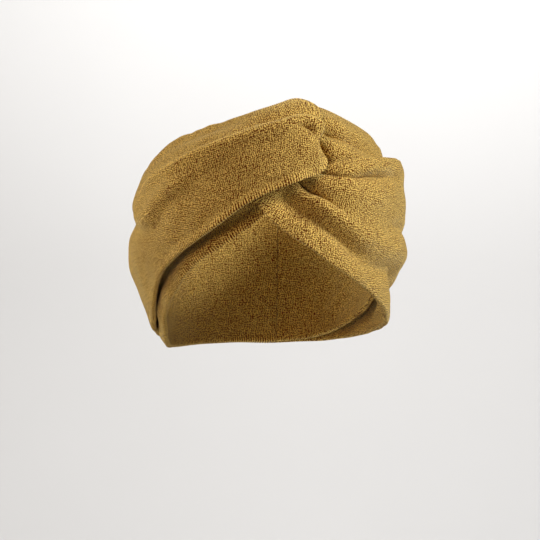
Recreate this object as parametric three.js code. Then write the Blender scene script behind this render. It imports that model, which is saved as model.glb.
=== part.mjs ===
// Twist headband in its worn shape: two wide strips of doubled sweater knit.
// Each strip is a loop with an outer ply and an inner ply. The loops are linked at the front and
// end at a plain seam at the back of the head.
//
// Sizes are in millimetres. +Z is up, the front faces -Y, and the origin is the middle of the head
// at its widest level.

import * as THREE from "three";

// Driving sizes
const HEAD_HALF_BREADTH = 72;
const HEAD_HALF_LENGTH = 92;
const WALL = 3.4;
const STRIP_WIDTH = 70;
const SEAM_TURN = 179.8;
const LEFT_INNER_END = 183.8;
const RIGHT_INNER_END = 175.8;

// Facets
const STATIONS = 68;
const POINTS_ACROSS = 18;
const EDGE_ANGLES = [-45, 0, 45];
const FINE_STEPS = 400;
const LENGTH_SHARE = 0.45;

const KNIT_COLOUR = 0xa27f3c;
const KNIT_ROUGHNESS = 0.95;

const withColumns = (names, rows) =>
  rows.map((row) => Object.fromEntries(names.map((name, k) => [name, row[k]])));

// Sections. A row is one cut across the strip, from its first edge to its second edge.
// turn is the angle round the head from the front, in degrees, positive to the wearer's left.
// height is above the origin, and out is how far the middle of the wall lies outside the ellipse
// of the head's widest level: at the first edge, half way across and at the second edge.
// bow turns the middle of the section from the straight line between its edges, in degrees.
// The seam of the inner plies lies beside the seam of the outer plies, so neither opens a slot.
const SECTION_COLUMNS = [
  "firstTurn",
  "secondTurn",
  "firstHeight",
  "secondHeight",
  "firstOut",
  "middleOut",
  "secondOut",
  "bow",
];

// The left strip: its first edge is the lower one.
const LEFT_SECTIONS = withColumns(SECTION_COLUMNS, [
  // outer ply, from the seam to the twist
  [-SEAM_TURN, -SEAM_TURN, -80, 10, -5, 4.5, 6, 0],
  [-150, -162, -79, 15, -5, 6, 6, 0],
  [-122, -143, -76, 24, -4, 8, 5, 0],
  [-100, -127, -71, 34, -2, 10.5, 3, 0],
  [-84, -112, -65, 42, 0, 12.5, 0, 0],
  [-72, -100, -54, 47.5, 3, 13.5, -2, 0],
  [-62, -89, -38, 49.3, 5.5, 14.5, -6, 0],
  [-53, -79, -26.5, 52.6, 7, 13.5, -13.5, 0],
  [-42, -66, -16.5, 57.2, 8.5, 12, -19, 0],
  [-30.5, -44, -7, 60.8, 10.5, 10, -20, 0],
  [-20.5, -25, 2, 63.8, 13, 9.5, -20, 0],
  [-7, -8, 16.2, 67.3, 15, 9.5, -19.5, 0],
  [4.5, 5.5, 24.2, 71.6, 15.5, 10, -17, 0],
  [11.5, 15.5, 28.8, 74.8, 15, 11, -15, 0],
  [16.5, 24.5, 30.7, 70.3, 13, 12.5, -7, -2.5],
  [20.5, 24.8, 32.3, 64, 11, 12, -3, -3.5],
  // fold back through the eye of the right strip
  [23.6, 23.2, 36.3, 56, 10.5, 9, 1.5, -3.8],
  [24.2, 21.8, 40.5, 51, 6.5, 4.5, 1, -1.2],
  [23.2, 21.5, 41, 49.5, 0, -1, -3, 0],
  [18, 18, 35, 51, -6, -9, -15, 0],
  // inner ply, from the twist back to the seam
  [9, 7, 22, 56, -4.5, -9, -22, 0],
  [-3.7, -8, 6.2, 57, 1.5, -4.5, -23.5, 0],
  [-17.8, -28, -6.9, 54, 1.8, -1.8, -20.5, 0],
  [-28.2, -45, -15.4, 50, 1.5, 0.3, -16.5, 0],
  [-38.3, -60, -23.4, 46, 1, 1.5, -12.5, 0],
  [-49.3, -75, -35.4, 41, -0.5, 2.5, -9, 0],
  [-57.7, -89, -45, 37, -1.5, 3, -8, 0],
  [-67.5, -102, -55.5, 30, -3, 3, -5, 0],
  [-76, -115, -67, 23, -6, 3, -3, 0],
  [-88, -128, -76, 17, -8.5, 3, -1, 0],
  [-110, -143, -78.5, 11, -9.5, 2.3, 0.5, 0],
  [-143, -160, -79, 6, -9.5, 1.3, 1.5, 0],
  [-LEFT_INNER_END, -LEFT_INNER_END, -79, 6, -9, 0.3, 1.5, 0],
]);

// The right strip: its first edge is the rim, which goes round the outside of the turn at the
// twist, and its second edge is the edge of the eye.
const RIGHT_SECTIONS = withColumns(SECTION_COLUMNS, [
  // outer ply, from the seam to the twist
  [SEAM_TURN, SEAM_TURN, -80, 10, -5, 4.5, 6, 0],
  [152, 163, -78, 13, -5, 6, 6, 0],
  [124, 145, -73, 21, -4.5, 8, 6, 0],
  [101, 126, -66.5, 29.5, -3.5, 9, 5.5, 0],
  [83, 107, -60, 35.5, -3, 10, 7, 0],
  [66, 88, -49, 39.5, -0.5, 10.6, 7.6, 0],
  [50, 67, -38, 41.5, 1.5, 11, 8.5, 0],
  [38.5, 49, -31, 41.5, 5.5, 11.5, 10, 0],
  [26.5, 36, -21.8, 40.5, 9, 11.5, 10, 0],
  [16.3, 28, -11.5, 37, 10, 9.8, 6.5, 0],
  [8.4, 21, -4.4, 33.5, 8, 6.8, 4, 0],
  // turn between the two plies of the left strip
  [0, 15, 5.1, 32.5, 6, 5, 3, 0],
  [-7, 10, 16, 32, 5.5, 4, 1.5, 0],
  [-11, 8, 30, 37.5, 2.5, 0.5, -1, 0],
  [-10, 8, 44, 46.5, -3, -3, -5, 0],
  [-4, 10, 56, 54, -12, -9, -9, 0],
  [8, 15, 65, 57, -18, -13, -12, 0],
  [20, 21.5, 71, 56, -19, -10, -11, 0],
  // inner ply, from the twist back to the seam
  [31, 31, 70.8, 34, -17, -2, -2, 0],
  [47, 40, 65.3, 27, -15, -0.5, -1.5, 0],
  [62, 51, 60, 18, -12, 1, -0.5, 0],
  [76, 63, 52.5, 4, -7, 2, 1.5, 0],
  [92, 80, 44, -20, -4, 3.5, 0, 0],
  [110, 98, 34, -42, -6, 3.5, -4, 0],
  [132, 120, 21, -60, -4, 2.5, -7.5, 0],
  [155, 148, 9, -74, -1, 1.2, -9, 0],
  [RIGHT_INNER_END, RIGHT_INNER_END, 6, -79, 1.5, 0.3, -9, 0],
]);

// Folds. The rows of one fold follow it along the strip: section counts the sections from the
// seam, across is the share of the way from the first edge, depth is out of the wall (negative for
// a crease) and width is half the width of the fold.
const FOLD_COLUMNS = ["fold", "section", "across", "depth", "width"];

const LEFT_FOLDS = withColumns(FOLD_COLUMNS, [
  ["shoulder ridge", 6.6, 0.6, 0, 6],
  ["shoulder ridge", 7.3, 0.6, 1.2, 6],
  ["shoulder ridge", 8, 0.59, 2, 5],
  ["shoulder ridge", 8.4, 0.61, 2.4, 5],
  ["shoulder ridge", 8.8, 0.635, 2.6, 5],
  ["shoulder ridge", 9.3, 0.675, 2.8, 5],
  ["shoulder ridge", 10, 0.73, 2.8, 5],
  ["shoulder ridge", 11, 0.77, 2.8, 5],
  ["shoulder ridge", 11.5, 0.787, 2.8, 5],
  ["shoulder ridge", 12.2, 0.79, 2.8, 5],
  ["shoulder ridge", 13, 0.77, 2.8, 5],
  ["shoulder ridge", 14, 0.775, 2.8, 5],
  ["shoulder ridge", 15, 0.83, 2, 5],
  ["shoulder ridge", 15.6, 0.86, 0, 5],
  ["valley over the shoulder", 7.2, 0.69, 0, 6],
  ["valley over the shoulder", 8, 0.7, -1.6, 6],
  ["valley over the shoulder", 9, 0.75, -2.6, 5],
  ["valley over the shoulder", 10.1, 0.815, -3, 5],
  ["valley over the shoulder", 11, 0.845, -3.4, 5],
  ["valley over the shoulder", 12, 0.85, -3.8, 5],
  ["valley over the shoulder", 13, 0.835, -4, 5],
  ["valley over the shoulder", 14, 0.845, -4, 5],
  ["valley over the shoulder", 15, 0.915, -2.4, 5],
  ["valley over the shoulder", 15.6, 0.96, 0, 5],
  ["side ridge", 5.6, 0.58, 0, 7],
  ["side ridge", 6.6, 0.44, 1.2, 7],
  ["side ridge", 7.32, 0.36, 2.2, 6.5],
  ["side ridge", 7.83, 0.355, 3, 6],
  ["side ridge", 8.19, 0.405, 3.4, 6],
  ["side ridge", 8.52, 0.45, 3.2, 5.5],
  ["side ridge", 8.74, 0.475, 2.8, 5.5],
  ["side ridge", 9.02, 0.5, 2.2, 5],
  ["side ridge", 9.34, 0.53, 1, 5],
  ["side ridge", 9.7, 0.55, 0, 5],
  ["valley under the side ridge", 4.4, 0.58, 0, 7],
  ["valley under the side ridge", 5.2, 0.52, -1.4, 7],
  ["valley under the side ridge", 6, 0.44, -2.2, 7],
  ["valley under the side ridge", 6.87, 0.34, -2.6, 6.5],
  ["valley under the side ridge", 7.65, 0.21, -1.8, 7],
  ["valley under the side ridge", 8.38, 0.27, -0.8, 7],
  ["valley under the side ridge", 8.93, 0.34, 0, 7],
  ["side belly", 1, 0.3, 0, 20],
  ["side belly", 4, 0.3, 2.5, 18],
  ["side belly", 6, 0.26, 3, 18],
  ["side belly", 8, 0.22, 1.5, 16],
  ["side belly", 10, 0.2, 0, 14],
]);

// Shoulder of the left strip, where its front face bends back over the head. The rows are as for a
// fold, but the depth moves the cloth straight out from the head.
const LEFT_SHOULDER = withColumns(FOLD_COLUMNS, [
  ["shoulder", 6, 0.52, 0, 13],
  ["shoulder", 7, 0.55, 1.2, 13],
  ["shoulder", 7.8, 0.58, 3.5, 13],
  ["shoulder", 8.4, 0.61, 7, 13],
  ["shoulder", 8.8, 0.63, 9, 13],
  ["shoulder", 9.3, 0.665, 10.5, 13],
  ["shoulder", 10, 0.72, 12, 13],
  ["shoulder", 11, 0.765, 12, 13],
  ["shoulder", 12, 0.785, 12, 13],
  ["shoulder", 13, 0.77, 8.5, 12],
  ["shoulder", 14, 0.775, 5, 11],
  ["shoulder", 15, 0.83, 2, 10],
  ["shoulder", 15.7, 0.86, 0, 10],
]);

const RIGHT_FOLDS = withColumns(FOLD_COLUMNS, [
  ["first crease", 7, 0.42, 0, 5],
  ["first crease", 7.9, 0.48, -1.5, 5],
  ["first crease", 8.4, 0.525, -3.2, 5],
  ["first crease", 9, 0.585, -4.5, 5],
  ["first crease", 9.6, 0.65, -4.5, 5],
  ["first crease", 10.3, 0.74, -4.5, 5],
  ["first crease", 11, 0.84, -4.5, 5],
  ["first crease", 11.8, 0.88, 0, 5],
  ["slope over the first crease", 7.6, 0.5, 0, 6],
  ["slope over the first crease", 8.2, 0.56, -1.8, 6],
  ["slope over the first crease", 9, 0.645, -2.2, 6],
  ["slope over the first crease", 9.6, 0.71, -1.8, 6],
  ["slope over the first crease", 10.3, 0.8, -1.2, 5.5],
  ["slope over the first crease", 11, 0.9, 0, 5],
  ["pleat under the first crease", 2.5, 0.42, 0, 9],
  ["pleat under the first crease", 4, 0.43, 3, 9],
  ["pleat under the first crease", 5, 0.37, 3.6, 9],
  ["pleat under the first crease", 6.2, 0.335, 2.8, 8],
  ["pleat under the first crease", 6.9, 0.355, 2.6, 8],
  ["pleat under the first crease", 7.5, 0.4, 2.6, 7.5],
  ["pleat under the first crease", 8.2, 0.45, 3, 7],
  ["pleat under the first crease", 8.9, 0.51, 3, 6],
  ["pleat under the first crease", 9.6, 0.58, 2.4, 5],
  ["pleat under the first crease", 10.3, 0.655, 1.4, 5],
  ["pleat under the first crease", 11.2, 0.74, 0, 5],
  ["notch at the side", 3.5, 0.545, 0, 5],
  ["notch at the side", 4.6, 0.535, -2.6, 5],
  ["notch at the side", 5.2, 0.525, -2.6, 5],
  ["notch at the side", 6, 0.5, -1, 6],
  ["notch at the side", 7, 0.47, 0, 7],
  ["lower valley", 2.6, 0.15, 0, 6.5],
  ["lower valley", 3.4, 0.18, -3.4, 6.5],
  ["lower valley", 4, 0.205, -4.5, 6.5],
  ["lower valley", 4.5, 0.23, -4.5, 6.5],
  ["lower valley", 4.9, 0.232, -4.5, 6],
  ["lower valley", 5.3, 0.22, -3.6, 6],
  ["lower valley", 5.7, 0.19, -2.8, 6],
  ["lower valley", 6.2, 0.17, -3, 6],
  ["lower valley", 7, 0.2, -4, 6.5],
  ["lower valley", 7.7, 0.24, -4.4, 6.5],
  ["lower valley", 8.6, 0.283, -4.4, 6.5],
  ["lower valley", 9.4, 0.335, -4.4, 6.5],
  ["lower valley", 10.2, 0.355, -4.5, 8],
  ["lower valley", 10.8, 0.39, -4.4, 8.5],
  ["lower valley", 11.4, 0.44, -2.6, 8.5],
  ["lower valley", 12, 0.5, 0, 8],
  ["rim roll", 2.5, 0.03, 0, 5],
  ["rim roll", 3.5, 0.05, 2.2, 6],
  ["rim roll", 4.3, 0.06, 2.6, 6],
  ["rim roll", 6.5, 0.05, 2.2, 5.5],
  ["rim roll", 8, 0.06, 1.8, 5.5],
  ["rim roll", 9.5, 0.06, 1, 5.5],
  ["rim roll", 10.5, 0.07, 0.3, 5.5],
  ["rim roll", 11.2, 0.08, 0, 5.5],
  ["upper belly", 3, 0.74, 0, 14],
  ["upper belly", 5, 0.72, 0.3, 12],
  ["upper belly", 6.5, 0.7, 1.4, 12],
  ["upper belly", 9, 0.79, 1.2, 6],
  ["upper belly", 10, 0.86, 0, 6],
  ["second crease", 7, 0.84, 0, 5],
  ["second crease", 7.5, 0.832, -2, 5],
  ["second crease", 8.1, 0.825, -3, 5],
  ["second crease", 8.9, 0.862, -3.2, 5],
  ["second crease", 9.3, 0.893, -3.2, 5],
  ["second crease", 9.8, 0.94, -2.4, 5],
  ["second crease", 10.4, 0.98, 0, 5],
  ["second valley", 5, 0.865, 0, 7],
  ["second valley", 5.6, 0.86, -1.2, 6],
  ["second valley", 6.1, 0.855, -3.5, 5],
  ["second valley", 6.5, 0.85, -4.5, 5],
  ["second valley", 7, 0.846, -4.5, 5],
  ["second valley", 7.5, 0.835, -2.6, 5],
  ["second valley", 8, 0.825, 0, 5],
  ["top roll", 17.2, 0.28, 0, 8],
  ["top roll", 17.8, 0.3, 2.5, 7],
  ["top roll", 18.3, 0.29, 4.2, 7],
  ["top roll", 19.2, 0.26, 2.4, 8],
  ["top roll", 20.2, 0.22, 0, 8],
  ["top crease", 17.2, 0.58, 0, 5],
  ["top crease", 17.6, 0.52, -4.5, 5],
  ["top crease", 18.1, 0.435, -4.5, 5],
  ["top crease", 18.5, 0.42, -4.5, 5],
  ["top crease", 18.9, 0.4, -4.5, 5],
  ["top crease", 19.3, 0.38, -2.2, 5],
  ["top crease", 19.8, 0.365, 0, 5],
]);

const mix = (a, b, share) => a + (b - a) * share;

// Smooth curve through the rows of a section table
function sectionAt(sections, place) {
  const last = sections.length - 1;
  const from = Math.min(Math.floor(place), last - 1);
  const f = place - from;
  const before = sections[Math.max(from - 1, 0)];
  const start = sections[from];
  const end = sections[from + 1];
  const after = sections[Math.min(from + 2, last)];
  const section = {};
  for (const name of SECTION_COLUMNS) {
    const slope = end[name] - before[name];
    const bend = 2 * before[name] - 5 * start[name] + 4 * end[name] - after[name];
    const twist = 3 * start[name] - before[name] - 3 * end[name] + after[name];
    section[name] = start[name] + 0.5 * f * (slope + f * (bend + f * twist));
  }
  return section;
}

// Point of the unfolded wall's middle at one share of the way across a section
function wallPoint(section, across, push = 0) {
  const bowed = 4 * across * (1 - across) * section.bow;
  const straight = mix(section.firstTurn, section.secondTurn, across);
  const turn = THREE.MathUtils.degToRad(straight + bowed);
  const height = mix(section.firstHeight, section.secondHeight, across);
  const out =
    section.firstOut * (1 - across) * (1 - 2 * across) +
    section.middleOut * 4 * across * (1 - across) +
    section.secondOut * across * (2 * across - 1) +
    push;
  return new THREE.Vector3(
    (HEAD_HALF_BREADTH + out) * Math.sin(turn),
    -(HEAD_HALF_LENGTH + out) * Math.cos(turn),
    height,
  );
}

// Depth that all the folds give at one place of a strip
function foldDepth(folds, place, across, stripWidth) {
  let depth = 0;
  for (let k = 0; k + 1 < folds.length; k += 1) {
    const from = folds[k];
    const to = folds[k + 1];
    if (from.fold !== to.fold || place < from.section || place >= to.section) continue;
    const share = (place - from.section) / (to.section - from.section);
    const offset = (across - mix(from.across, to.across, share)) * stripWidth;
    const reach = offset / mix(from.width, to.width, share);
    depth += mix(from.depth, to.depth, share) * Math.exp(-reach * reach);
  }
  return depth;
}

// Stations along a strip, spread partly by its length and partly by its sections
function spreadStations(sections) {
  const last = sections.length - 1;
  const runs = [0];
  let previous = wallPoint(sections[0], 0.5);
  for (let k = 1; k <= FINE_STEPS; k += 1) {
    const next = wallPoint(sectionAt(sections, (last * k) / FINE_STEPS), 0.5);
    runs.push(runs[k - 1] + next.distanceTo(previous));
    previous = next;
  }
  const stations = [];
  let k = 0;
  for (let i = 0; i < STATIONS; i += 1) {
    const goal = i / (STATIONS - 1);
    const reached = (step) => mix(step / FINE_STEPS, runs[step] / runs[FINE_STEPS], LENGTH_SHARE);
    while (k + 1 < FINE_STEPS && reached(k + 1) < goal) k += 1;
    const share = (goal - reached(k)) / (reached(k + 1) - reached(k));
    stations.push((last * Math.min(k + share, FINE_STEPS)) / FINE_STEPS);
  }
  return stations;
}

// Normals of a grid of points; facing turns them to the side that starts as the outside
function gridNormals(grid, facing) {
  const clampRow = (i) => grid[Math.min(Math.max(i, 0), grid.length - 1)];
  const clampPoint = (row, j) => row[Math.min(Math.max(j, 0), row.length - 1)];
  return grid.map((row, i) =>
    row.map((point, j) => {
      const along = clampRow(i + 1)[j].clone().sub(clampRow(i - 1)[j]);
      const over = clampPoint(row, j + 1).clone().sub(clampPoint(row, j - 1));
      return along.cross(over).multiplyScalar(facing).normalize();
    }),
  );
}

// Middle of the wall with its folds, as a grid of stations and points across
function foldedWall(sections, shoulder, folds, facing) {
  const stations = spreadStations(sections);
  const shares = Array.from({ length: POINTS_ACROSS }, (_, j) => j / (POINTS_ACROSS - 1));
  const flat = stations.map((place) => {
    const section = sectionAt(sections, place);
    return shares.map((across) =>
      wallPoint(section, across, foldDepth(shoulder, place, across, STRIP_WIDTH)),
    );
  });
  const normals = gridNormals(flat, facing);
  return flat.map((row, i) => {
    let stripWidth = 0;
    for (let j = 1; j < row.length; j += 1) stripWidth += row[j].distanceTo(row[j - 1]);
    return row.map((point, j) => {
      const depth = foldDepth(folds, stations[i], shares[j], stripWidth);
      return point.clone().addScaledVector(normals[i][j], depth);
    });
  });
}

// Rounded edge of one section, from the inside of the wall to its outside
function edgePoints(point, outward, normal) {
  return EDGE_ANGLES.map((degrees) => {
    const angle = THREE.MathUtils.degToRad(degrees);
    return point
      .clone()
      .addScaledVector(outward, (WALL / 2) * Math.cos(angle))
      .addScaledVector(normal, (WALL / 2) * Math.sin(angle));
  });
}

// Outline of one section: first edge, outside, second edge, inside
function sectionOutline(row, normals) {
  const last = row.length - 1;
  const outside = row.map((p, j) => p.clone().addScaledVector(normals[j], WALL / 2));
  const inside = row.map((p, j) => p.clone().addScaledVector(normals[j], -WALL / 2));
  const firstWay = row[0].clone().sub(row[1]).normalize();
  const secondWay = row[last].clone().sub(row[last - 1]).normalize();
  const firstEdge = edgePoints(row[0], firstWay, normals[0]);
  const secondEdge = edgePoints(row[last], secondWay, normals[last]);
  const half = (EDGE_ANGLES.length - 1) / 2;
  return [
    ...firstEdge.slice(half),
    ...outside,
    ...secondEdge.reverse(),
    ...inside.reverse(),
    ...firstEdge.slice(0, half),
  ];
}

// Closed wall of one strip: a skin along the outlines and a cap at each end
function stripGeometry(sections, shoulder, folds, facing) {
  const grid = foldedWall(sections, shoulder, folds, facing);
  const normals = gridNormals(grid, facing);
  const outlines = grid.map((row, i) => sectionOutline(row, normals[i]));
  const count = outlines[0].length;
  const lastStart = (outlines.length - 1) * count;
  const triangles = [];
  const addTriangle = (a, b, c) => {
    if (a === b || b === c || c === a) return;
    triangles.push(...(facing > 0 ? [a, b, c] : [a, c, b]));
  };
  for (let i = 0; i + 1 < outlines.length; i += 1) {
    for (let k = 0; k < count; k += 1) {
      const here = i * count;
      const next = (k + 1) % count;
      addTriangle(here + k, here + count + k, here + count + next);
      addTriangle(here + k, here + count + next, here + next);
    }
  }
  for (let k = 0; k < count / 2; k += 1) {
    const across = (count - k) % count;
    addTriangle(k, k + 1, count - k - 1);
    addTriangle(k, count - k - 1, across);
    addTriangle(lastStart + k, lastStart + count - k - 1, lastStart + k + 1);
    addTriangle(lastStart + k, lastStart + across, lastStart + count - k - 1);
  }
  const geometry = new THREE.BufferGeometry().setFromPoints(outlines.flat());
  geometry.setIndex(triangles);
  geometry.computeVertexNormals();
  return geometry;
}

function makeStrip(name, sections, shoulder, folds, facing) {
  const material = new THREE.MeshStandardMaterial({
    color: KNIT_COLOUR,
    roughness: KNIT_ROUGHNESS,
    metalness: 0,
  });
  const strip = new THREE.Mesh(stripGeometry(sections, shoulder, folds, facing), material);
  strip.name = name;
  return strip;
}

const headband = new THREE.Group();
headband.name = "twist_headband";
headband.add(makeStrip("left_band", LEFT_SECTIONS, LEFT_SHOULDER, LEFT_FOLDS, 1));
headband.add(makeStrip("right_band", RIGHT_SECTIONS, [], RIGHT_FOLDS, -1));

export default headband;
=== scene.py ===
# %% [markdown]
# # A knitted twist headband
# Two wide strips of sweater knit make this headband. Each strip is a loop, the loops are linked at
# the front, and their ends are sewn together at the back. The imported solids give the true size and
# place, and this lesson dresses them: finer cloth, the knit itself, and the light it is seen in.

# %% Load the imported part
import math

import bpy
import numpy as np
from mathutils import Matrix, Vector


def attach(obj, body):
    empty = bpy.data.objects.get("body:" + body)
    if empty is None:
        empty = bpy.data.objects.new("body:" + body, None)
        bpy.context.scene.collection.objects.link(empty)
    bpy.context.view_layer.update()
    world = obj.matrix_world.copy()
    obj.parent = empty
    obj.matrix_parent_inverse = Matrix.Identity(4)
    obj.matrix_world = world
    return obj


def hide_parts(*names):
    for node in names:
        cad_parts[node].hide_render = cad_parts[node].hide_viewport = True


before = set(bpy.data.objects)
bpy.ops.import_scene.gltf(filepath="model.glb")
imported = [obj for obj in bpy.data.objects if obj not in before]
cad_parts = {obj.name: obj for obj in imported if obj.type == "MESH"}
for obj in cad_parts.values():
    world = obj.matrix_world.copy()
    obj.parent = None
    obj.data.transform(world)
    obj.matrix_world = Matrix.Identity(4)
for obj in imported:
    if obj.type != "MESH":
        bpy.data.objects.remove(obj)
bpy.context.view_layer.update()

MM = 0.001
print("solids:", sorted(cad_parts))

# %% [markdown]
# ## Camera
# The picture was taken from the front, a little above the middle of the band and from some way
# off, so the lens is long. The distance and the lens together give 0.63 mm to a pixel in the
# band's middle plane. A camera close by would be as easy to place, but it would swell the twist.

# %% Camera
VIEW_DISTANCE = 1.5
VIEW_RISE = math.radians(2)
VIEW_TARGET = Vector((0, 0, -28.35 * MM))
MM_PER_PIXEL = 0.63
PICTURE_PIXELS = 540
SENSOR_MM = 36

camera_data = bpy.data.cameras.new("camera")
camera_data.sensor_width = SENSOR_MM
camera_data.lens = SENSOR_MM * VIEW_DISTANCE / (MM_PER_PIXEL * MM * PICTURE_PIXELS)
camera = bpy.data.objects.new("camera", camera_data)
bpy.context.scene.collection.objects.link(camera)
back_way = Vector((0, -math.cos(VIEW_RISE), math.sin(VIEW_RISE)))
camera.location = VIEW_TARGET + back_way * VIEW_DISTANCE
camera.rotation_euler = (-back_way).to_track_quat("-Z", "Y").to_euler()
bpy.context.scene.camera = camera
print("lens", round(camera_data.lens, 1), "mm")

# %% [markdown]
# ## The strips' sections
# A strip is described as a tailor would measure it: cut by cut, from the seam at the back to
# the twist and back again. Each row is one cut from the strip's first edge to its second edge.
# The columns are the turn round the band's upright axis in degrees at both edges, the height in
# millimetres at both edges, how far the cloth lies outside the fitting ellipse at the first
# edge, half way across and at the second edge, and the bow, which turns the middle of the cut a
# little from the straight line between its edges. The fitting ellipse is the widest level of
# the space that the band goes round. These are the same cuts as in the solids. Points of a
# finished mesh could be moved by hand, but written cuts can be read and changed one by one.

# %% Sections of the left strip
FITTING_HALF_BREADTH = 72
FITTING_HALF_LENGTH = 92
WALL = 3.4
STRIP_WIDTH = 70
SEAM_TURN = 179.96
LEFT_INNER_END = 183.96
RIGHT_INNER_END = 175.96

LEFT_OUTER = [
    (-SEAM_TURN, -SEAM_TURN, -80, 10, -5, 4.5, 6, 0),
    (-150, -162, -79, 15, -5, 6, 6, 0),
    (-122, -143, -76, 24, -4, 8, 5, 0),
    (-100, -127, -71, 34, -2, 10.5, 3, 0),
    (-84, -112, -65, 42, 0, 12.5, 0, 0),
    (-72, -100, -54, 47.5, 3, 13.5, -2, 0),
    (-62, -89, -38, 49.3, 5.5, 14.5, -6, 0),
    (-53, -79, -26.5, 52.6, 7, 13.5, -13.5, 0),
    (-42, -66, -16.5, 57.2, 8.5, 12, -19, 0),
    (-30.5, -44, -7, 60.8, 10.5, 10, -20, 0),
    (-20.5, -25, 2, 63.8, 13, 9.5, -20, 0),
    (-7, -8, 16.2, 67.3, 15, 9.5, -19.5, 0),
    (4.5, 5.5, 24.2, 71.6, 15.5, 10, -17, 0),
    (11.5, 15.5, 28.8, 74.8, 15, 11, -15, 0),
    (16.5, 24.5, 30.7, 70.3, 13, 12.5, -7, -2.5),
    (20.5, 24.8, 32.3, 64, 11, 12, -3, -3.5),
]
LEFT_FOLD_BACK = [
    (23.6, 23.2, 36.3, 56, 10.5, 9, 1.5, -3.8),
    (24.2, 21.8, 40.5, 51, 6.5, 4.5, 1, -1.2),
    (23.2, 21.5, 41, 49.5, 0, -1, -3, 0),
    (18, 18, 35, 51, -6, -9, -15, 0),
]
LEFT_INNER = [
    (9, 7, 22, 56, -4.5, -9, -22, 0),
    (-3.7, -8, 6.2, 57, 1.5, -4.5, -23.5, 0),
    (-17.8, -28, -6.9, 54, 1.8, -1.8, -20.5, 0),
    (-28.2, -45, -15.4, 50, 1.5, 0.3, -16.5, 0),
    (-38.3, -60, -23.4, 46, 1, 1.5, -12.5, 0),
    (-49.3, -75, -35.4, 41, -0.5, 2.5, -9, 0),
    (-57.7, -89, -45, 37, -1.5, 3, -8, 0),
    (-67.5, -102, -55.5, 30, -3, 3, -5, 0),
    (-76, -115, -67, 23, -6, 3, -3, 0),
    (-88, -128, -76, 17, -8.5, 3, -1, 0),
    (-110, -143, -78.5, 11, -9.5, 2.3, 0.5, 0),
    (-143, -160, -79, 6, -9.5, 1.3, 1.5, 0),
    (-LEFT_INNER_END, -LEFT_INNER_END, -79, 6, -9, 0.3, 1.5, 0),
]
LEFT_SECTIONS = np.array(LEFT_OUTER + LEFT_FOLD_BACK + LEFT_INNER, float)
print("left strip:", len(LEFT_SECTIONS), "sections")

# %% Sections of the right strip
RIGHT_OUTER = [
    (SEAM_TURN, SEAM_TURN, -80, 10, -5, 4.5, 6, 0),
    (152, 163, -78, 13, -5, 6, 6, 0),
    (124, 145, -73, 21, -4.5, 8, 6, 0),
    (101, 126, -66.5, 29.5, -3.5, 9, 5.5, 0),
    (83, 107, -60, 35.5, -3, 10, 7, 0),
    (66, 88, -49, 39.5, -0.5, 10.6, 7.6, 0),
    (50, 67, -38, 41.5, 1.5, 11, 8.5, 0),
    (38.5, 49, -31, 41.5, 5.5, 11.5, 10, 0),
    (26.5, 36, -21.8, 40.5, 9, 11.5, 10, 0),
    (16.3, 28, -11.5, 37, 10, 9.8, 6.5, 0),
    (8.4, 21, -4.4, 33.5, 8, 6.8, 4, 0),
]
RIGHT_TURN = [
    (0, 15, 5.1, 32.5, 6, 5, 3, 0),
    (-7, 10, 16, 32, 5.5, 4, 1.5, 0),
    (-11, 8, 30, 37.5, 2.5, 0.5, -1, 0),
    (-10, 8, 44, 46.5, -3, -3, -5, 0),
    (-4, 10, 56, 54, -12, -9, -9, 0),
    (8, 15, 65, 57, -18, -13, -12, 0),
    (20, 21.5, 71, 56, -19, -10, -11, 0),
]
RIGHT_INNER = [
    (31, 31, 70.8, 34, -17, -2, -2, 0),
    (47, 40, 65.3, 27, -15, -0.5, -1.5, 0),
    (62, 51, 60, 18, -12, 1, -0.5, 0),
    (76, 63, 52.5, 4, -7, 2, 1.5, 0),
    (92, 80, 44, -20, -4, 3.5, 0, 0),
    (110, 98, 34, -42, -6, 3.5, -4, 0),
    (132, 120, 21, -60, -4, 2.5, -7.5, 0),
    (155, 148, 9, -74, -1, 1.2, -9, 0),
    (RIGHT_INNER_END, RIGHT_INNER_END, 6, -79, 1.5, 0.3, -9, 0),
]
RIGHT_SECTIONS = np.array(RIGHT_OUTER + RIGHT_TURN + RIGHT_INNER, float)
print("right strip:", len(RIGHT_SECTIONS), "sections")

# %% [markdown]
# ## The folds
# Pleats and creases run along the strips and gather at the twist. Each fold is a short table: the
# section it passes, how far across the strip it lies there, its depth out of the cloth (a crease
# is negative) and half its width, in millimetres. A round fold is a soft swell. A sharp one is
# pinched, as cloth is where it is pulled into the twist. The left strip's inner ply faces the
# other way, so a positive depth goes inwards there. The left strip also has a shoulder, where
# its front face bends back at the top: a fold that moves the cloth straight out from the
# fitting ellipse.
# Sculpting with a brush would be quicker, but the folds couldn't be repeated or measured.

# %% Folds of the left strip
ROUND, SHARP = "round", "sharp"

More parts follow.
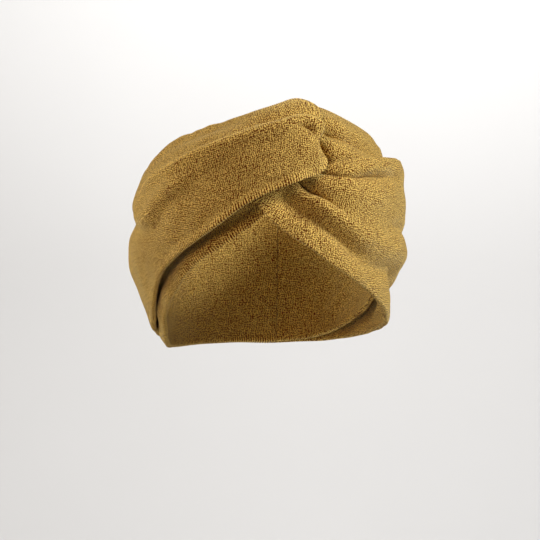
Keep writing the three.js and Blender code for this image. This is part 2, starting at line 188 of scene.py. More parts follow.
LEFT_FOLDS = {
    ("shoulder ridge", ROUND): [
        (6.6, 0.6, 0, 6), (7.3, 0.6, 1.2, 6), (8, 0.59, 2, 5), (8.4, 0.61, 2.4, 4.5),
        (8.8, 0.635, 2.6, 4.2), (9.3, 0.675, 2.8, 4), (10, 0.73, 2.8, 3.5), (11, 0.77, 2.8, 3.2),
        (11.5, 0.787, 2.8, 3.2), (12.2, 0.79, 2.8, 3.2), (13, 0.77, 2.8, 3.2),
        (14, 0.775, 2.8, 3.2), (15, 0.83, 2, 3.2), (15.6, 0.86, 0, 3.2),
    ],
    ("valley over the shoulder", ROUND): [
        (7.2, 0.69, 0, 6), (8, 0.7, -1.6, 6), (9, 0.75, -2.8, 5), (10.1, 0.815, -3.8, 4.4),
        (11, 0.845, -4.4, 4), (12, 0.85, -4.6, 3.8), (13, 0.835, -4.4, 3.4), (14, 0.845, -4, 3.2),
        (15, 0.915, -2.4, 3), (15.6, 0.96, 0, 3),
    ],
    ("valley behind the top ridge", ROUND): [
        (5, 0.86, 0, 5), (6, 0.87, -1.4, 5), (7, 0.9, -2.4, 4.5), (8, 0.915, -2.8, 4.5),
        (9, 0.925, -2.6, 4.2), (10, 0.935, -1.4, 4), (11, 0.94, 0, 4),
    ],
    ("turn of the top edge", ROUND): [
        (3.6, 1, 0, 8), (4.8, 1, -1.8, 8), (5.8, 1, -2.4, 7), (6.4, 1, -1.2, 6), (7.1, 1, 0.4, 6),
        (7.8, 1, -0.2, 6), (8.3, 1, -1.6, 6), (8.8, 1, -0.2, 6), (9.4, 1, 0, 6),
    ],
    ("roll of the top edge", ROUND): [
        (9, 0.97, 0, 4), (10.5, 0.97, 1, 4), (12, 0.965, 1.6, 4), (13.5, 0.96, 1.6, 4),
        (14.6, 0.97, 1, 4), (15.5, 0.98, 0, 4),
    ],
    ("side ridge", ROUND): [
        (5.6, 0.58, 0, 7), (6.6, 0.44, 1.8, 7), (7.32, 0.36, 3, 6.5), (7.83, 0.355, 3.6, 6),
        (8.19, 0.405, 3.6, 6), (8.52, 0.45, 3.2, 5.5), (8.74, 0.475, 2.8, 5.5), (9.02, 0.5, 2.2, 5),
        (9.34, 0.53, 1, 5), (9.7, 0.55, 0, 5),
    ],
    ("valley under the side ridge", ROUND): [
        (3.4, 0.62, 0, 8), (4.4, 0.57, -2.4, 8.5), (5.2, 0.52, -4, 8.5), (6, 0.45, -4, 8.5),
        (6.87, 0.35, -2.4, 7), (7.65, 0.21, -1, 7), (8.38, 0.27, -0.4, 7), (8.93, 0.34, 0, 7),
    ],
    ("middle of the face", ROUND): [
        (9.2, 0.4, 0, 9), (10.05, 0.433, 1.6, 9), (11, 0.505, 2, 9), (12.05, 0.48, 2, 9),
        (13, 0.45, 1.2, 9), (14, 0.45, 0, 9),
    ],
    ("hollow of the lower side", ROUND): [
        (2.6, 0.2, 0, 10), (4.1, 0.21, -2, 10), (5.2, 0.2, 0, 10),
    ],
    ("side belly", ROUND): [
        (1, 0.3, 0, 20), (4, 0.3, 2.5, 18), (6, 0.26, 3, 18), (8, 0.22, 1.5, 16), (10, 0.2, 0, 14),
    ],
    ("tuck in the hood", SHARP): [
        (12.4, 0.735, 0, 2.5), (12.7, 0.715, -1.5, 2.5), (12.9, 0.68, -2.8, 2.5),
        (13.1, 0.655, -3.4, 2.5), (13.4, 0.625, -3, 2.5), (13.8, 0.57, -1.6, 2.5),
        (14.2, 0.53, 0, 2.5),
    ],
    ("lip of the lower edge", ROUND): [
        (5, 0, 0, 5), (7, 0, 1.4, 5), (9, 0, 2.6, 5), (12, 0, 2.8, 5), (13.5, 0, 1.4, 5),
        (14.5, 0, 0, 5),
    ],
    ("lobe at the fold", ROUND): [
        (13, 0.25, 0, 8), (15, 0.25, 1, 8), (16, 0.25, 0, 6),
    ],
    ("step under the right strip", ROUND): [
        (19.2, 0.08, 0, 12), (20.3, 0.08, 3, 12), (21.2, 0.08, 3.2, 12), (22.2, 0.08, 1, 12),
        (23, 0.08, 0, 12),
    ],
    ("groove behind the lower edge", ROUND): [
        (20.5, 0.17, 0, 6), (22, 0.17, 2.4, 6), (26, 0.17, 3, 6), (29, 0.17, 2.6, 6),
        (31, 0.17, 0, 6),
    ],
    ("roll of the inner edge", ROUND): [
        (20.5, 0.07, 0, 4), (22, 0.06, -1.4, 4), (26, 0.06, -1.6, 5), (29, 0.06, -1.4, 5),
        (31, 0.06, 0, 5),
    ],
}
print("left folds:", [name for name, kind in LEFT_FOLDS])

# %% Shoulder of the left strip
LEFT_SHOULDER = {
    ("shoulder", ROUND): [
        (6, 0.52, 0, 13), (7, 0.55, 1.2, 13), (7.8, 0.58, 3.5, 13), (8.4, 0.61, 7, 13),
        (8.8, 0.63, 9, 13), (9.3, 0.665, 10.5, 13), (10, 0.72, 12, 13), (11, 0.765, 12, 13),
        (12, 0.785, 12, 13), (13, 0.77, 8.5, 12), (14, 0.775, 5, 11), (15, 0.83, 2, 10),
        (15.7, 0.86, 0, 10),
    ],
}
print("shoulder rows:", len(LEFT_SHOULDER["shoulder", ROUND]))

# %% Folds of the right strip
RIGHT_FOLDS = {
    ("first crease", SHARP): [
        (7, 0.42, 0, 4.5), (7.9, 0.48, -1.5, 3.6), (8.4, 0.525, -3.2, 2.8), (9, 0.585, -5, 2.4),
        (9.6, 0.65, -7, 2.4), (10.3, 0.74, -8.5, 2.6), (11, 0.84, -7, 2.8), (11.8, 0.88, 0, 3),
    ],
    ("slope over the first crease", ROUND): [
        (7.6, 0.5, 0, 6), (8.2, 0.56, -1.2, 6), (9, 0.645, -1.4, 6), (9.6, 0.71, -1.3, 6),
        (10.3, 0.8, -1.2, 5.5), (11, 0.9, 0, 5),
    ],
    ("pleat under the first crease", ROUND): [
        (2.5, 0.42, 0, 9), (4, 0.43, 3, 9), (5, 0.37, 3.6, 9), (6.2, 0.335, 2.8, 8),
        (6.9, 0.355, 2.6, 8), (7.5, 0.4, 2.6, 7.5), (8.2, 0.45, 3, 7), (8.9, 0.51, 3, 6),
        (9.6, 0.58, 2.4, 5), (10.3, 0.655, 1.4, 4.5), (11.2, 0.74, 0, 4),
    ],
    ("notch at the side", ROUND): [
        (3.5, 0.545, 0, 5), (4.6, 0.535, -2.6, 4.5), (5.2, 0.525, -2.6, 4.5), (6, 0.5, -1, 6),
        (7, 0.47, 0, 7),
    ],
    ("lower valley", ROUND): [
        (2.6, 0.15, 0, 6.5), (3.4, 0.18, -3.4, 6.5), (4, 0.205, -5.6, 6.5), (4.5, 0.23, -6, 6.5),
        (4.9, 0.232, -4.4, 6), (5.3, 0.22, -3, 6), (5.7, 0.19, -2.2, 6), (6.2, 0.17, -2.4, 6),
        (7, 0.2, -4.2, 6.5), (7.7, 0.24, -5, 6.5), (8.6, 0.293, -5.2, 6.2), (9.4, 0.355, -5.4, 6.2),
        (10.2, 0.39, -5.8, 7.5), (10.8, 0.43, -6, 8), (11.4, 0.48, -4.4, 8), (12, 0.54, 0, 8),
    ],
    ("rim roll", ROUND): [
        (2.5, 0.03, 0, 5), (3.5, 0.03, 2.4, 7), (4.3, 0.02, 3.6, 8), (6.5, 0.03, 2.6, 7),
        (8, 0.05, 0.2, 7), (9.5, 0.04, -1.2, 8), (10.5, 0.04, -1.2, 8), (11.3, 0.04, -0.2, 8),
        (12.2, 0.05, 0, 6),
    ],
    ("upper belly", ROUND): [
        (3, 0.74, 0, 14), (5, 0.72, 0.3, 12), (6.5, 0.7, 1.4, 12), (9, 0.79, 1.2, 6),
        (10, 0.86, 0, 6),
    ],
    ("ridge between the creases", ROUND): [
        (6.4, 0.65, 0, 7), (7.2, 0.65, 0.8, 7), (8, 0.66, 1.6, 6), (8.9, 0.705, 2, 5),
        (9.4, 0.755, 1.8, 4.5), (9.9, 0.82, 1.2, 4), (10.5, 0.89, 0, 4),
    ],
    ("second crease", SHARP): [
        (7, 0.84, 0, 2), (7.5, 0.832, -2, 1.8), (8.1, 0.825, -3, 1.6), (8.9, 0.862, -3.2, 1.5),
        (9.3, 0.893, -3.2, 1.5), (9.8, 0.94, -2.4, 1.5), (10.4, 0.98, 0, 1.5),
    ],
    ("second valley", ROUND): [
        (5, 0.865, 0, 7), (5.6, 0.86, -1.2, 6), (6.1, 0.855, -3.5, 5), (6.5, 0.85, -5.6, 4.2),
        (7, 0.846, -5.6, 3.8), (7.5, 0.835, -2.6, 3.2), (8, 0.825, 0, 3.2),
    ],
    ("ridge over the second crease", ROUND): [
        (4, 0.92, 0, 7), (5.5, 0.915, 1.5, 6), (7, 0.905, 2, 4.5), (8.5, 0.9, 2.4, 4.5),
        (8.9, 0.93, 2.2, 4.2), (9.3, 0.955, 1.6, 4), (10, 1, 0, 4),
    ],
    ("top roll", ROUND): [
        (17.2, 0.28, 0, 8), (17.8, 0.3, 2.5, 7), (18.3, 0.29, 4.2, 7), (19.2, 0.26, 2.4, 8),
        (20.2, 0.22, 0, 8),
    ],
    ("top crease", SHARP): [
        (17.2, 0.58, 0, 3), (17.6, 0.52, -4.5, 3), (18.1, 0.435, -6.5, 3), (18.5, 0.42, -6.5, 3),
        (18.9, 0.4, -4.6, 3.4), (19.3, 0.38, -2.2, 4), (19.8, 0.365, 0, 5),
    ],
    ("top valley", ROUND): [
        (18.3, 0.425, 0, 6), (18.8, 0.41, -1.6, 7), (19.4, 0.39, -2.6, 6), (20, 0.37, -2, 6),
        (20.8, 0.35, 0, 7),
    ],
    ("ridge under the top crease", ROUND): [
        (17.5, 0.73, 0, 6), (18.1, 0.65, 1.7, 6.5), (18.6, 0.64, 2.2, 6.5), (19.2, 0.6, 1.7, 7),
        (20, 0.54, 0, 7),
    ],
}
print("right folds:", [name for name, kind in RIGHT_FOLDS])

# %% [markdown]
# ## From the tables to cloth
# The cuts are joined by a smooth curve through the rows, so the strip flows from one to the next.
# The folds then move the cloth along its own normal. Working on whole grids of points with numpy
# keeps the sums short and quick. Worn knit is never quite even, so a few long, low waves that
# cross each other are laid over the folds.

# %% Curves through the tables
def sections_at(sections, places):
    """Rows between the sections, by a curve that passes through each of them."""
    last = len(sections) - 1
    start = np.minimum(places.astype(int), last - 1)
    f = (places - start)[:, None]
    a, b = sections[np.maximum(start - 1, 0)], sections[start]
    c, d = sections[start + 1], sections[np.minimum(start + 2, last)]
    return b + 0.5 * f * (c - a + f * (2 * a - 5 * b + 4 * c - d + f * (3 * b - a - 3 * c + d)))


def smooth_between(places, rows):
    """Columns of a fold's table at each place, by a curve that starts and ends level."""
    section, columns = rows[:, 0], rows[:, 1:]
    slope = np.gradient(columns, section, axis=0)
    slope[[0, -1]] = 0
    start = np.clip(np.searchsorted(section, places) - 1, 0, len(section) - 2)
    step = np.diff(section)[start][:, None]
    f = np.clip((places - section[start])[:, None] / step, 0, 1)
    a, b = columns[start], columns[start + 1]
    rise = f * (1 - f) * step * ((1 - f) * slope[start] - f * slope[start + 1])
    return a + (b - a) * f * f * (3 - 2 * f) + rise


print("left strip between two cuts:", sections_at(LEFT_SECTIONS, np.array([0.5])).round(1).tolist())

# %% The plain strip
PINCH = 1.3
NO_SHOULDER = {}


def fold_depths(folds, places, shares, widths):
    """Depth that all the folds of a strip give at each point of its grid."""
    total = np.zeros((len(places), len(shares)))
    for (name, kind), rows in folds.items():
        across, depth, width = smooth_between(places, np.array(rows, float)).T[:, :, None]
        reach = (shares - across) * widths[:, None] / width
        total += depth * (np.exp(-PINCH * np.abs(reach)) if kind == SHARP else np.exp(-reach**2))
    return total


def wrapped(sections, places, shares, shoulder):
    """Grid of points, in millimetres, of the strip's middle before it is folded."""
    columns = [column[:, None] for column in sections_at(sections, places).T]
    turn_a, turn_b, height_a, height_b, out_a, out_middle, out_b, bow = columns
    hump = 4 * shares * (1 - shares)
    turn = np.radians(turn_a + (turn_b - turn_a) * shares + hump * bow)
    height = height_a + (height_b - height_a) * shares
    out = out_a * (1 - shares) * (1 - 2 * shares)
    out = out + out_middle * hump + out_b * shares * (2 * shares - 1)
    out = out + fold_depths(shoulder, places, shares, np.full(len(places), STRIP_WIDTH))
    x = (FITTING_HALF_BREADTH + out) * np.sin(turn)
    y = -(FITTING_HALF_LENGTH + out) * np.cos(turn)
    return np.stack([x, y, height], -1)


seam_edges = wrapped(LEFT_SECTIONS, np.zeros(1), np.array([0.0, 1.0]), NO_SHOULDER)
print("first section of the left strip:", seam_edges.round(1).tolist())

# %% Lengths on the cloth
def running(line):
    """Running length along a line of points, from its first point."""
    steps = np.linalg.norm(np.diff(line, axis=0), axis=1)
    return np.concatenate([[0], np.cumsum(steps)])


def middle_line(grid):
    """Line along the middle of a strip: the mean of three points of each section."""
    quarter = grid.shape[1] // 4
    return grid[:, quarter::quarter].mean(axis=1)


def across_lengths(grid):
    """Running length across each section, from its first edge."""
    steps = np.linalg.norm(np.diff(grid, axis=1), axis=-1)
    return np.concatenate([np.zeros((len(grid), 1)), np.cumsum(steps, axis=1)], axis=1)


print("width at the seam:", across_lengths(seam_edges)[0, -1].round(1), "mm")

# %% Folding
UNEVENNESS = [(31, 23, 0.2), (-26, 37, 0.2), (47, -19, 0.16), (23, -29, 0.12)]
WAVE_LAG = 1.7


def uneven_depths(run, lengths):
    """Low waves over the cloth: each row is a wave length along, one across, and a height."""
    total = np.zeros(lengths.shape)
    for number, (wave_along, wave_across, height) in enumerate(UNEVENNESS):
        waves = run[:, None] / wave_along + lengths / wave_across
        total += height * np.sin(2 * np.pi * waves + WAVE_LAG * number)
    return total


def grid_normals(grid, facing):
    """Normals of a grid of points. Facing turns them to the side that is outside at the seam."""
    normal = np.cross(np.gradient(grid, axis=0), np.gradient(grid, axis=1)) * facing
    return normal / np.linalg.norm(normal, axis=-1, keepdims=True)


def folded(sections, shoulder, folds, facing, places, shares):
    """Grid of points, in millimetres, of the strip's middle with its folds."""
    plain = wrapped(sections, places, shares, shoulder)
    lengths = across_lengths(plain)
    depth = fold_depths(folds, places, shares, lengths[:, -1])
    depth = depth + uneven_depths(running(middle_line(plain)), lengths)
    return plain + grid_normals(plain, facing) * depth[..., None]


deepest = min(depth for rows in RIGHT_FOLDS.values() for section, across, depth, width in rows)
print("deepest right fold:", deepest, "mm")

# %% [markdown]
# ## Maps for the knit
# The rows of loops follow the cloth, not the room, so each point needs its place on the flat cut.
# Unwrapping in the UV editor would do for a flat cloth, but a strip that turns back on itself is
# mapped more evenly by its own lengths. The material also needs to know how far each point lies
# from the crest of the shoulder, to paint a thin highlight along it.

# %% Place on the flat cut
MOST_LEAN = 0.5
LEAN_STATIONS = 25


def leans(grid):
    """How far each section leans from square to the strip, evened out along the strip."""
    way = np.gradient(middle_line(grid), axis=0)
    section = grid[:, -1] - grid[:, 0]
    lean = np.sum(way * section, axis=1)
    lean = lean / np.linalg.norm(way, axis=1) / np.linalg.norm(section, axis=1)
    lean = np.pad(np.clip(lean, -MOST_LEAN, MOST_LEAN), LEAN_STATIONS // 2, "edge")
    return np.convolve(lean, np.ones(LEAN_STATIONS) / LEAN_STATIONS, "valid")[:, None]


def flat_map(grid):
    """Each point's place on the flat cut: along the strip, and square across it from its middle.

    A section that leans against the strip's own direction is straightened by its lean, which is
    evened out so that the rows of knit don't jump where the strip turns back.
    """
    lengths = across_lengths(grid)
    lengths = lengths - lengths[:, grid.shape[1] // 2][:, None]
    lean = leans(grid)
    along = running(middle_line(grid))[:, None] + lengths * lean
    return np.stack([along, lengths * np.sqrt(1 - lean**2)], -1)


print("sections evened out together:", LEAN_STATIONS)

# %% Distance from the crest of the shoulder
RIDGE = ("shoulder ridge", ROUND)
FAR = 50


def ridge_distances(folds, places, shares, widths):
    """How far across the strip each point lies from the crest of the shoulder, if there is one."""
    rows = folds.get(RIDGE)
    if rows is None:
        return np.full((len(places), len(shares)), FAR)
    across = smooth_between(places, np.array(rows, float))[:, :1]
    past_ends = np.maximum(np.maximum(rows[1][0] - places, places - rows[-2][0]), 0) * FAR
    return (shares - across) * widths[:, None] + past_ends[:, None]


print("the crest runs from section", LEFT_FOLDS[RIDGE][1][0], "to", LEFT_FOLDS[RIDGE][-2][0])

# %% [markdown]
# ## Making a strip
# The strip starts as what it really is: a flat cut of knit, added as a grid. Its points are then
# laid where the tables put them, and the flat lengths are kept as a UV map in metres, so the knit
# keeps its size everywhere. Solidify gives the thickness of the doubled knit, and one level of
# subdivision rounds the folded edges. A cloth simulation could drape the flat cut instead, but it
# would not find the pull of the twist by itself.

# %% Spreading the stations
STATIONS = 176
POINTS_ACROSS = 64
FINE_STEPS = 2000
QUARTERS = np.array([0.25, 0.5, 0.75])
LENGTH_SHARE = 0.7
SEAM_STEP = 0.02


def spread_places(sections):
    """Places along a strip, spread partly by its length and partly by its sections.

    The second place and the last but one lie close to the ends, which keeps the seam crisp.
    """
    fine = np.linspace(0, len(sections) - 1, FINE_STEPS)
    run = running(wrapped(sections, fine, QUARTERS, NO_SHOULDER).mean(axis=1))
    mixed = LENGTH_SHARE * run / run[-1] + (1 - LENGTH_SHARE) * fine / fine[-1]
    places = np.interp(np.linspace(0, 1, STATIONS - 2), mixed, fine)
    return np.sort(np.append(places, [SEAM_STEP, fine[-1] - SEAM_STEP]))


print("left strip's first places:", spread_places(LEFT_SECTIONS)[:4].round(2).tolist())

# %% Flat grid, kept numbers and thickness
def lay_grid(name, grid):
    """A flat grid of faces, laid on a grid of points in millimetres.

    The row and the number across that each point has in the grid come back with the strip.
    """
    bpy.ops.object.select_all(action="DESELECT")
    bpy.ops.mesh.primitive_grid_add(
        x_subdivisions=STATIONS - 1, y_subdivisions=POINTS_ACROSS - 1, size=1
    )
    strip = bpy.context.object
    strip.name = strip.data.name = name
    flat = np.empty(len(strip.data.vertices) * 3)
    strip.data.vertices.foreach_get("co", flat)
    share = flat.reshape(-1, 3) + 0.5
    row = np.rint(share[:, 0] * (STATIONS - 1)).astype(int)
    point = np.rint(share[:, 1] * (POINTS_ACROSS - 1)).astype(int)
    strip.data.vertices.foreach_set("co", (grid[row, point] * MM).ravel())
    return strip, row, point


def keep_numbers(mesh, name, numbers):
    """Keep a number for each point of a mesh, for the material to read."""
    mesh.attributes.new(name, "FLOAT", "POINT").data.foreach_set("value", numbers)


def thicken(strip):
    """Give a strip the thickness of doubled knit, and round its edges."""
    thick = strip.modifiers.new("doubled knit", "SOLIDIFY")
    thick.thickness = WALL * MM
    thick.offset = 0
    bpy.ops.object.modifier_apply(modifier=thick.name)
    soft = strip.modifiers.new("rounded edges", "SUBSURF")
    soft.levels = soft.render_levels = 1
    bpy.ops.object.modifier_apply(modifier=soft.name)
    bpy.ops.object.shade_smooth()


print("grid of", STATIONS, "by", POINTS_ACROSS, "points, wall", WALL, "mm")

# %% The two strips
RIGHT_TURNED_RIM = 4 * MM


def add_strip(name, sections, shoulder, folds, facing, turned_rim):
    """One strip of knit. A turned rim is the width at its edges that has been rolled out of sight."""
    places = spread_places(sections)
    shares = np.linspace(0, 1, POINTS_ACROSS)
    grid = folded(sections, shoulder, folds, facing, places, shares)
    strip, row, point = lay_grid(name, grid)
    mesh = strip.data
    corner = np.empty(len(mesh.loops), int)
    mesh.loops.foreach_get("vertex_index", corner)
    knit_map = mesh.uv_layers[0]
    knit_map.name = "knit"
    knit_map.data.foreach_set("uv", (flat_map(grid) * MM)[row, point][corner].ravel())
    lengths = across_lengths(grid)
    edge = np.minimum(lengths, lengths[:, -1:] - lengths) * MM + turned_rim
    keep_numbers(mesh, "edge", edge[row, point])
    ridge = ridge_distances(folds, places, shares, lengths[:, -1]) * MM
    keep_numbers(mesh, "ridge", ridge[row, point])
    mesh.update()
    if facing < 0:
        bpy.ops.object.mode_set(mode="EDIT")
        bpy.ops.mesh.select_all(action="SELECT")
        bpy.ops.mesh.flip_normals()
        bpy.ops.object.mode_set(mode="OBJECT")
    thicken(strip)
    run = running(middle_line(grid))[-1]
    print(name, "run", round(run), "mm,", 2 * len(strip.data.polygons), "triangles")
    return strip


left_strip = add_strip(
    "left_strip", LEFT_SECTIONS, LEFT_SHOULDER, LEFT_FOLDS, facing=1, turned_rim=0
)
right_strip = add_strip(
    "right_strip", RIGHT_SECTIONS, NO_SHOULDER, RIGHT_FOLDS,
    facing=-1, turned_rim=RIGHT_TURNED_RIM,
)

# %% [markdown]
# ## The knit
# The cloth is a matte sweater knit. Seen close, it is rows of small pale loops with dark brown
# gaps between them, pushed out of line by the uneven yarn. Two waves, one along the strip and one
# across it, give the loops, and noise moves and breaks them. The loops give way to plain ribs at
# the edges. A thin pale line along the crest of the shoulder is a painted highlight, where the
# crest catches the light.
# A picture of knit wrapped round the strips would be simpler, but it would repeat and blur.
# Shader sums are easier to read as Python, so a small class stands for a socket and adds a Math
# node for each sign.

# %% Shader sums
# A Mix node's third output is its colour.
MIXED_COLOUR = 2


class Signal:
    """A shader value that can be added, multiplied and so on."""

    def __init__(self, socket):
        self.socket = socket
        self.tree = socket.id_data

    def node(self, kind, settings=None, inputs=None, output=0):
        """Any other node: its settings come first, then the values or links of its sockets."""
        made = self.tree.nodes.new(kind)
        for key, value in (settings or {}).items():
            setattr(made, key, value)
        for key, value in (inputs or {}).items():
            if isinstance(value, Signal):
                self.tree.links.new(value.socket, made.inputs[key])
            else:
                made.inputs[key].default_value = value
        return Signal(made.outputs[output])

    def sum(self, operation, first, second=0.0):
        return self.node("ShaderNodeMath", {"operation": operation}, {0: first, 1: second})

    def __add__(self, other):
        return self.sum("ADD", self, other)

    def __rsub__(self, other):
        return self.sum("SUBTRACT", other, self)

    def __sub__(self, other):
        return self.sum("SUBTRACT", self, other)

    def __mul__(self, other):
        return self.sum("MULTIPLY", self, other)

    def __truediv__(self, other):
        return self.sum("DIVIDE", self, other)

    __radd__ = __add__
    __rmul__ = __mul__

    def wave(self):
        return self.sum("SINE", self)

    def clamped(self):
        return self.node("ShaderNodeClamp", None, {"Value": self})

    def between(self, low, high):
        """A colour from low to high, as this value goes from 0 to 1."""
        colours = {"Factor": self, "A": low, "B": high}
        return self.node("ShaderNodeMix", {"data_type": "RGBA"}, colours, MIXED_COLOUR)


def new_material(name):
    """A new material, its nodes and its surface shader."""
    material = bpy.data.materials.new(name)
    material.use_nodes = True
    tree = material.node_tree
    return material, tree, tree.nodes["Principled BSDF"]


print("shader sums ready")

# %% Sizes and strengths of the knit
WALE = 1.15 * MM
LOOP = 1.08 * MM
RIB = 1.7 * MM
RIM = 7 * MM
# Half width of the painted highlight along the crest of the shoulder.
PAINTED_HIGHLIGHT_HALF_WIDTH = 1.1 * MM

# Noise scales, from broad patches to single fibres, and how far each noise pushes or lifts.
WALE_SLIPS = [(130, 1.1), (520, 1.9)]
LOOP_SLIPS = [(140, 1.1), (540, 1.9)]
BREAK_SCALE, BREAK_DEPTH = 600, 0.8
FUZZ_SCALE, FUZZ_HEIGHT = 1400, 2.3
PATCH_SCALE, PATCH_DETAIL, PATCH_TONE = 45, 3, 0.2

LOOP_HEIGHT = 0.45
LOOPS_LOST_AT_RIM = 0.7
RIB_HEIGHT = 0.5
CONTRAST = 2.7
# Tone of the painted highlight along the crest of the shoulder.
PAINTED_HIGHLIGHT_TONE = 0.9
MIDDLE_TONE = 0.5
PIT = (0.13, 0.02, 0.001, 1)
CREST = (0.97, 0.685, 0.18, 1)
BUMP_STRENGTH, BUMP_DEPTH = 0.7, 0.35 * MM
PIT_ROUGHNESS, CREST_SMOOTHING = 0.98, 0.14
NAP = {
    "Specular IOR Level": 0.05,
    "Sheen Weight": 0.45,
    "Sheen Roughness": 0.3,
    "Sheen Tint": (1.0, 0.9, 0.55, 1),
}
print("loops of", round(WALE / MM, 2), "by", round(LOOP / MM, 2), "mm")

# %% Knit material
def make_knit():
    """Rows of small loops with dark gaps between them, ribs along the edges, a soft nap and a painted
    highlight along the crest of the shoulder.
    """
    material, tree, shader = new_material("knit")
    place = Signal(tree.nodes.new("ShaderNodeTexCoord").outputs["Object"])
    flat = place.node("ShaderNodeUVMap", {"uv_map": "knit"})
    along = flat.node("ShaderNodeSeparateXYZ", None, {0: flat}, "X")
    across = flat.node("ShaderNodeSeparateXYZ", None, {0: flat}, "Y")
    edge = place.node("ShaderNodeAttribute", {"attribute_name": "edge"}, None, "Fac")
    ridge = place.node("ShaderNodeAttribute", {"attribute_name": "ridge"}, None, "Fac")

    def grain(scale, detail=1):
        inputs = {"Vector": place, "Scale": scale, "Detail": detail}
        return place.node("ShaderNodeTexNoise", None, inputs, "Fac") - 0.5

    def slipped_wave(phase, slips):
        for scale, push in slips:
            phase = phase + grain(scale) * push
        return (phase * (2 * math.pi)).wave()

    loops = slipped_wave(along / WALE, WALE_SLIPS) + slipped_wave(across / LOOP, LOOP_SLIPS)
    loops = loops * (LOOP_HEIGHT + grain(BREAK_SCALE) * BREAK_DEPTH)
    ribs = (along * (2 * math.pi / RIB)).wave()
    rim = (1 - edge / RIM).clamped()
    height = loops * (1 - rim * LOOPS_LOST_AT_RIM) + ribs * rim * RIB_HEIGHT
    height = height + grain(FUZZ_SCALE) * FUZZ_HEIGHT
    patch = grain(PATCH_SCALE, PATCH_DETAIL) * PATCH_TONE
    # Painted highlight: a thin pale line along the crest of the shoulder, where it catches the light.
    line = (1 - ridge.sum("ABSOLUTE", ridge) / PAINTED_HIGHLIGHT_HALF_WIDTH).clamped()
    tone = (height * CONTRAST + patch + line * PAINTED_HIGHLIGHT_TONE + MIDDLE_TONE).clamped()
    bump_inputs = {"Strength": BUMP_STRENGTH, "Distance": BUMP_DEPTH, "Height": height}
    bump = height.node("ShaderNodeBump", None, bump_inputs, "Normal")
    roughness = PIT_ROUGHNESS - tone * CREST_SMOOTHING
    tree.links.new(tone.between(PIT, CREST).socket, shader.inputs["Base Color"])
    tree.links.new(bump.socket, shader.inputs["Normal"])
    tree.links.new(roughness.socket, shader.inputs["Roughness"])
    for name, value in NAP.items():
        shader.inputs[name].default_value = value
    return material


knit = make_knit()
for strip, node in ((left_strip, "left_band"), (right_strip, "right_band")):
    strip.data.materials.append(knit)
    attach(strip, "root")
    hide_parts(node)
print("knit on both strips")

# %% [markdown]
# ## Stage and light
# The band is held up as when it is worn, so the floor lies well below and sweeps up into a pale
# backdrop with no line between them. A large soft light from the upper right does most of the
# work and another from the left fills its shadows. A weak warm one in front lifts the face of the
# band, and the last one whitens the backdrop. A single light would leave the left side black.

# %% Floor and backdrop
FLOOR_HEIGHT = -1.0
SWEEP_START = 1.4
SWEEP_RADIUS = 0.9
SWEEP_STEPS = 24
BACKDROP_HEIGHT = 3
HALF_STAGE = 9.0

bpy.ops.object.select_all(action="DESELECT")
bpy.ops.mesh.primitive_plane_add(size=2, location=(0, 0, 0))
floor = bpy.context.object
floor.name = "floor"
for vertex in floor.data.vertices:
    depth = -HALF_STAGE if vertex.co.y < 0 else SWEEP_START
    vertex.co = (math.copysign(HALF_STAGE, vertex.co.x), depth, FLOOR_HEIGHT)
bpy.ops.object.mode_set(mode="EDIT")
bpy.ops.mesh.select_all(action="DESELECT")
bpy.ops.object.mode_set(mode="OBJECT")
for edge in floor.data.edges:
    edge.select = all(floor.data.vertices[v].co.y > 0 for v in edge.vertices)
bpy.ops.object.mode_set(mode="EDIT")
bpy.context.tool_settings.mesh_select_mode = (False, True, False)
for k in range(SWEEP_STEPS):
    a, b = math.radians(90 * k / SWEEP_STEPS), math.radians(90 * (k + 1) / SWEEP_STEPS)
    step = Vector((0, math.sin(b) - math.sin(a), math.cos(a) - math.cos(b))) * SWEEP_RADIUS
    bpy.ops.mesh.extrude_region_move(TRANSFORM_OT_translate={"value": step})
bpy.ops.mesh.extrude_region_move(TRANSFORM_OT_translate={"value": (0, 0, BACKDROP_HEIGHT)})
bpy.ops.object.mode_set(mode="OBJECT")
bpy.ops.object.shade_smooth()
print("floor at", FLOOR_HEIGHT, "m,", len(floor.data.polygons), "faces")

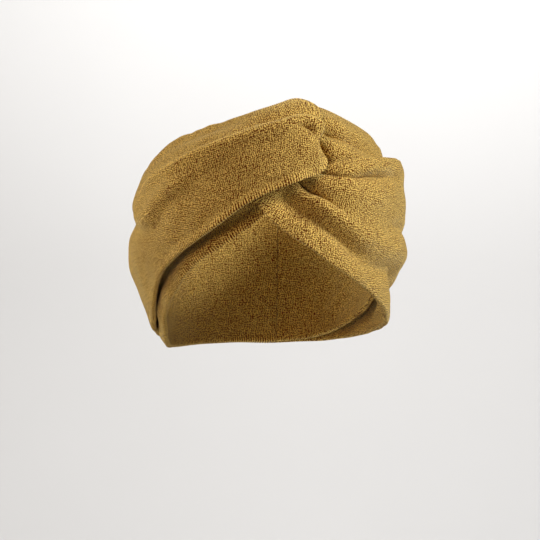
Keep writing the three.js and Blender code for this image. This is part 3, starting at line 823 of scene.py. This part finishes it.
# %% Paper
PAPER_DARK = (0.57, 0.57, 0.57, 1)
PAPER_PALE = (0.6, 0.6, 0.6, 1)
PAPER_ROUGHNESS = 0.9
MOTTLE_SCALE, MOTTLE_DETAIL = 3.0, 2.0

paper, paper_tree, paper_shader = new_material("paper")
paper_place = Signal(paper_tree.nodes.new("ShaderNodeTexCoord").outputs["Object"])
mottle_inputs = {"Vector": paper_place, "Scale": MOTTLE_SCALE, "Detail": MOTTLE_DETAIL}
mottle = paper_place.node("ShaderNodeTexNoise", None, mottle_inputs, "Fac")
paper_colour = mottle.between(PAPER_DARK, PAPER_PALE)
paper_tree.links.new(paper_colour.socket, paper_shader.inputs["Base Color"])
paper_shader.inputs["Roughness"].default_value = PAPER_ROUGHNESS
floor.data.materials.append(paper)
print("paper on the floor and backdrop")

# %% Lights
BAND_MIDDLE = (0, 0, 0)
BACKDROP_AIM = (0.05, 2.3, 0.2)
WHITE = (1, 1, 1)
CREAM = (1, 0.98, 0.92)
AMBER = (1, 0.6, 0.34)
ROOM_COLOUR = (1.0, 0.9, 0.84, 1)
ROOM_STRENGTH = 0.06


def add_light(name, size, power, place, aim, colour):
    """A square soft light at a place, turned towards a point."""
    data = bpy.data.lights.new(name, "AREA")
    data.size = size
    data.energy = power
    data.color = colour
    light = bpy.data.objects.new(name, data)
    light.location = place
    light.rotation_euler = (Vector(aim) - Vector(place)).to_track_quat("-Z", "Y").to_euler()
    bpy.context.scene.collection.objects.link(light)


# Each light has a size in metres, a power in watts, a place, a point to aim at and a colour.
add_light("key", 0.8, 46, (1.75, -0.5, 1.05), BAND_MIDDLE, WHITE)
add_light("fill", 1.2, 32, (-1.7, 0.3, 1.0), BAND_MIDDLE, CREAM)
add_light("front", 0.8, 9, (-0.6, -2.0, 0.75), BAND_MIDDLE, AMBER)
add_light("backdrop", 1.0, 24.5, (0.2, 1.4, 0.95), BACKDROP_AIM, WHITE)
world = bpy.data.worlds.new("room")
bpy.context.scene.world = world
world.use_nodes = True
ambient = world.node_tree.nodes["Background"]
ambient.inputs["Color"].default_value = ROOM_COLOUR
ambient.inputs["Strength"].default_value = ROOM_STRENGTH
bpy.context.scene.view_settings.view_transform = "Standard"
